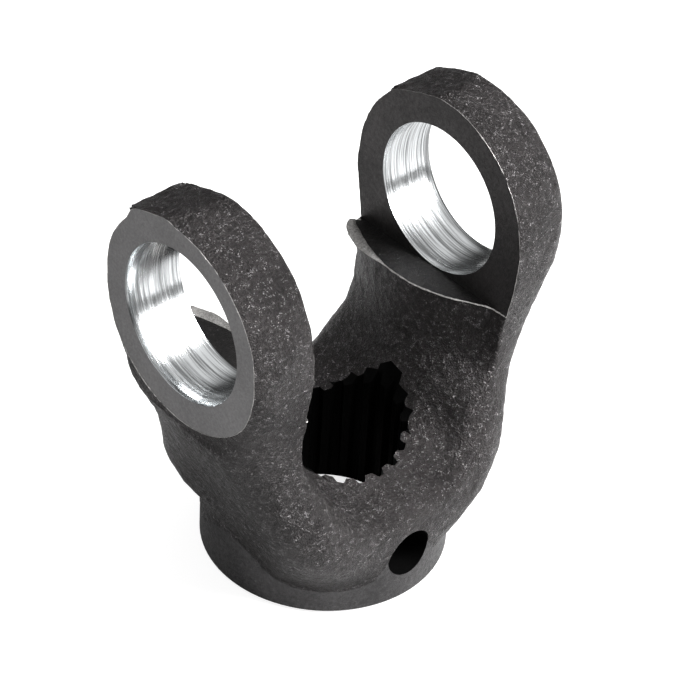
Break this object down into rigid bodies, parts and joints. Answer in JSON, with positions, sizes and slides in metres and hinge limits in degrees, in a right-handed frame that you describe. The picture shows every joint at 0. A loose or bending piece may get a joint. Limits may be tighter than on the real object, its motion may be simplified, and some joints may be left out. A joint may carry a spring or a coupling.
{
  "type": "universal joint yoke",
  "caption": "Forged universal-joint yoke with a splined hub, a locking pin hole through the hub, and forked arms ending in bored ears.",
  "frame": {"origin": "centre of the hub's lower end face, the bottom centre of the bounding box", "axes": "+Z along the hub's axis from its end face towards the ears, +X along the axis of the ear bores, +Y along the locking pin hole"},
  "size_m": [0.085, 0.0564, 0.1035],
  "materials": {
    "forged_steel": "as-forged dark scale, with duller grey turned and faced areas and bright bored holes"
  },
  "bodies": {
    "root": {"yoke": "forged_steel"}
  },
  "joints": []
}
